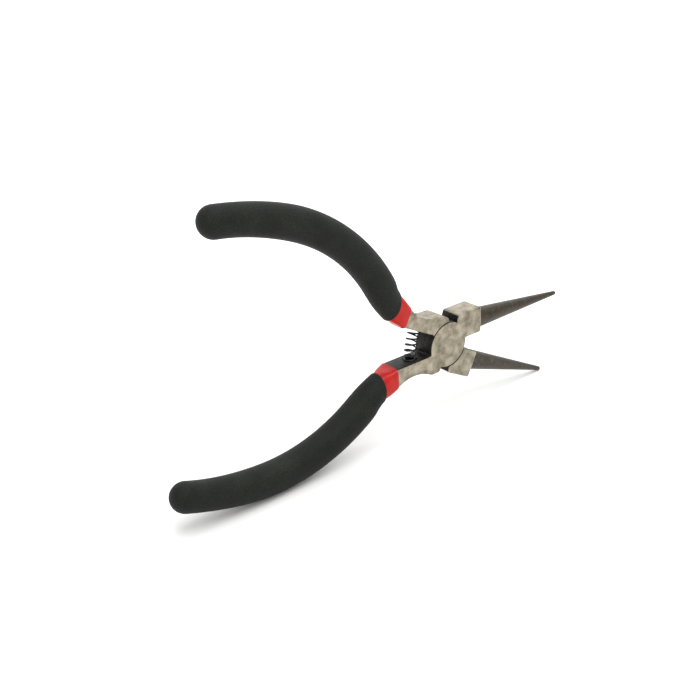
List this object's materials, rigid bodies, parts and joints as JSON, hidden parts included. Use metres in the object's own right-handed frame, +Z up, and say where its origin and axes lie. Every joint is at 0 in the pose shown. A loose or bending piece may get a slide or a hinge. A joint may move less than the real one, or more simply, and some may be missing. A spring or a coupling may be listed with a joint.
{
  "type": "round nose pliers",
  "caption": "Mini round nose jewellery pliers with bow handles, red and black dipped grips and a return spring, standing on edge and open.",
  "frame": {"origin": "on the floor, midway along the whole length, in the middle of the tool's thickness", "axes": "+X from the handles to the jaws along the floor, +Y along the rivet from the front face to the back, +Z up"},
  "size_m": [0.138, 0.0088, 0.0792],
  "materials": {
    "forged_steel": "tumbled and ground, satin, jaws and inner faces left dark",
    "rivet_steel": "ground flush",
    "spring_wire": "black oxide",
    "red_dip": "glossy dipped vinyl",
    "black_dip": "matte, fine-grained"
  },
  "bodies": {
    "front_half": {"front_lever": "forged_steel", "pivot_rivet": "rivet_steel", "return_spring": "spring_wire", "liner_lower": "red_dip", "grip_lower": "black_dip"},
    "rear_half": {"rear_lever": "forged_steel", "liner_upper": "red_dip", "grip_upper": "black_dip"}
  },
  "joints": [
    {"name": "plier_pivot", "type": "hinge", "parent": "front_half", "child": "rear_half", "pos_m": [0.02009, 0, 0.02372], "axis": [0, 1, 0], "range_deg": [-27.7, 0], "stiffness_Nm_per_rad": 0.8, "deforming": ["return_spring"]}
  ]
}
